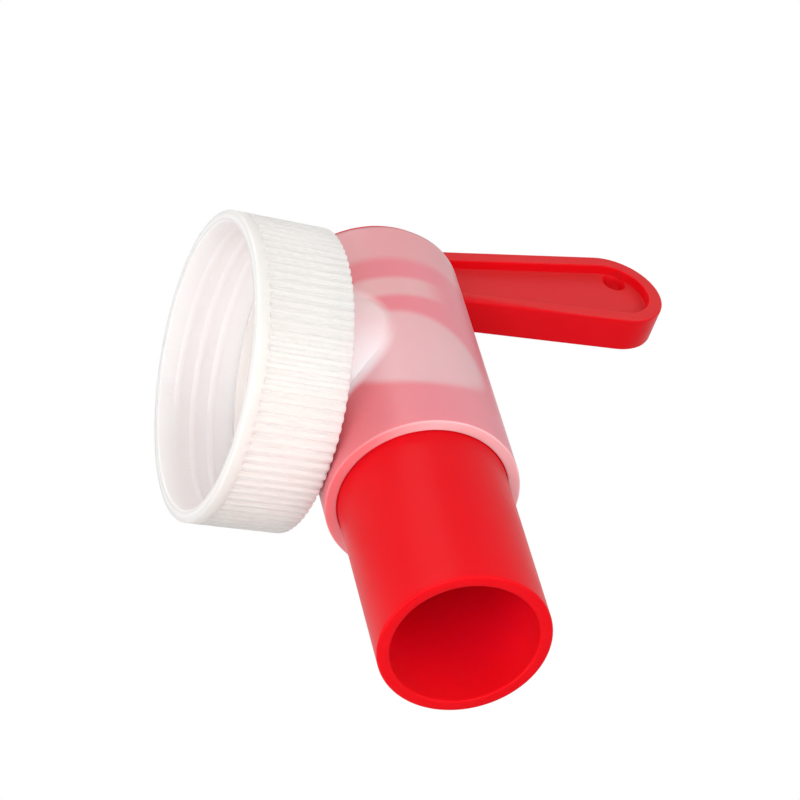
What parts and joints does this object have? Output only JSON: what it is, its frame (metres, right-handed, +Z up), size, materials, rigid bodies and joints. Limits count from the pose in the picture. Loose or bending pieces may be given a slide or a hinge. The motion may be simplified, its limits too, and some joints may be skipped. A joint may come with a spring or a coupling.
{
  "type": "bottle tap",
  "caption": "Plastic tap for a large bottle or jerrycan: grooved screw cap on a swivelling body, with a quarter-turn plug whose spout and lever are one moulding.",
  "frame": {"origin": "centre of the screw cap's open mouth, on the cap's axis", "axes": "+X runs from the bottle through the cap into the tap body, +Z up along the plug's axis with the lever on top and the spout below, +Y completes the frame; the lever points along +X, which is shut"},
  "size_m": [0.1226, 0.0704, 0.147],
  "materials": {
    "cap_plastic": "white moulded polyethylene, slightly satin",
    "washer_foam": "off-white soft sealing ring, matt",
    "body_plastic": "natural translucent polyethylene, milky, tinted pink by the plug behind it",
    "plug_plastic": "opaque red moulded polypropylene, semi-gloss"
  },
  "bodies": {
    "cap": {"screw_cap": "cap_plastic", "sealing_washer": "washer_foam"},
    "body": {"tap_body": "body_plastic"},
    "valve": {"valve_plug": "plug_plastic"}
  },
  "joints": [
    {"name": "body_swivel", "type": "hinge", "parent": "cap", "child": "body", "pos_m": [0, 0, 0], "axis": [1, 0, 0], "continuous": true},
    {"name": "plug_turn", "type": "hinge", "parent": "body", "child": "valve", "pos_m": [0.045, 0, 0], "axis": [0, 0, 1], "range_deg": [-90, 0]}
  ]
}
